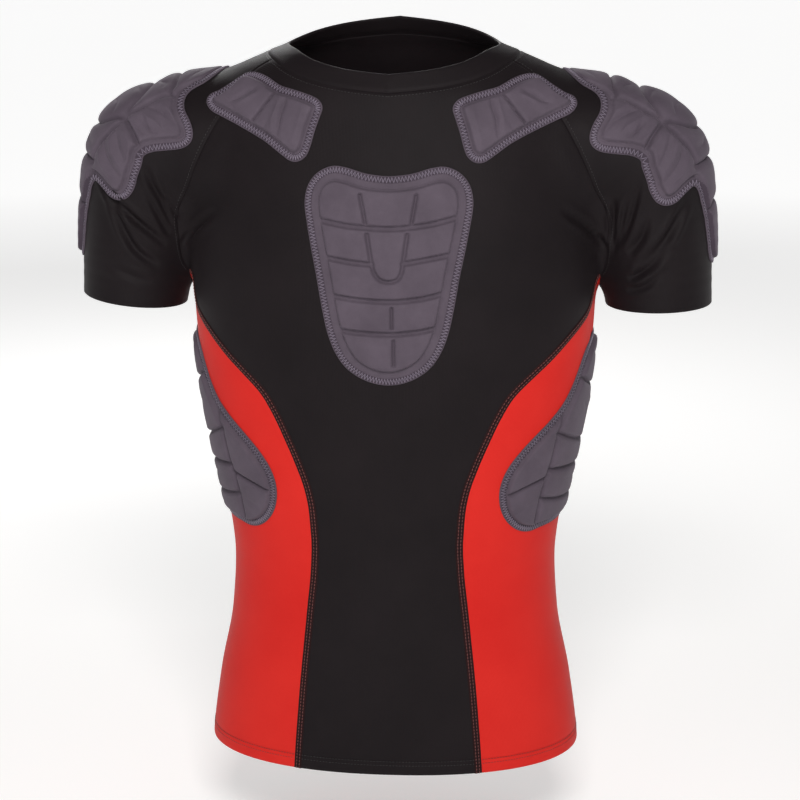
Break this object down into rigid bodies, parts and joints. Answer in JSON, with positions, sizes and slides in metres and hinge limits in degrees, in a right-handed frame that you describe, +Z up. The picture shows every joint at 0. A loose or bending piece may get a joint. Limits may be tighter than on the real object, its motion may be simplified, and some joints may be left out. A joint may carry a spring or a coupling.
{
  "type": "padded compression shirt",
  "caption": "Short-sleeved stretch shirt with quilted foam pads on breastbone, collarbones, shoulders and ribs, open at neck, hem and cuffs, in the pose of its wearer.",
  "frame": {"origin": "midway between the shoulders, level with the sides of the neckline, where the wearer's shoulders carry the shirt", "axes": "+Z up along the wearer's back, front faces -Y, +X to the wearer's left"},
  "size_m": [0.6196, 0.2561, 0.7139],
  "materials": {
    "black_jersey": "matte knitted stretch jersey",
    "red_jersey": "matte knitted stretch jersey",
    "pad_cover": "smooth knit over foam"
  },
  "bodies": {
    "root": {"front_panel": "black_jersey", "back_panel": "black_jersey", "sleeve_left": "black_jersey", "sleeve_right": "black_jersey", "neckband": "black_jersey", "side_panel_left": "red_jersey", "side_panel_right": "red_jersey", "sternum_pad": "pad_cover", "collarbone_pad_left": "pad_cover", "collarbone_pad_right": "pad_cover", "shoulder_pad_left": "pad_cover", "shoulder_pad_right": "pad_cover", "rib_pad_left": "pad_cover", "rib_pad_right": "pad_cover"}
  },
  "joints": []
}
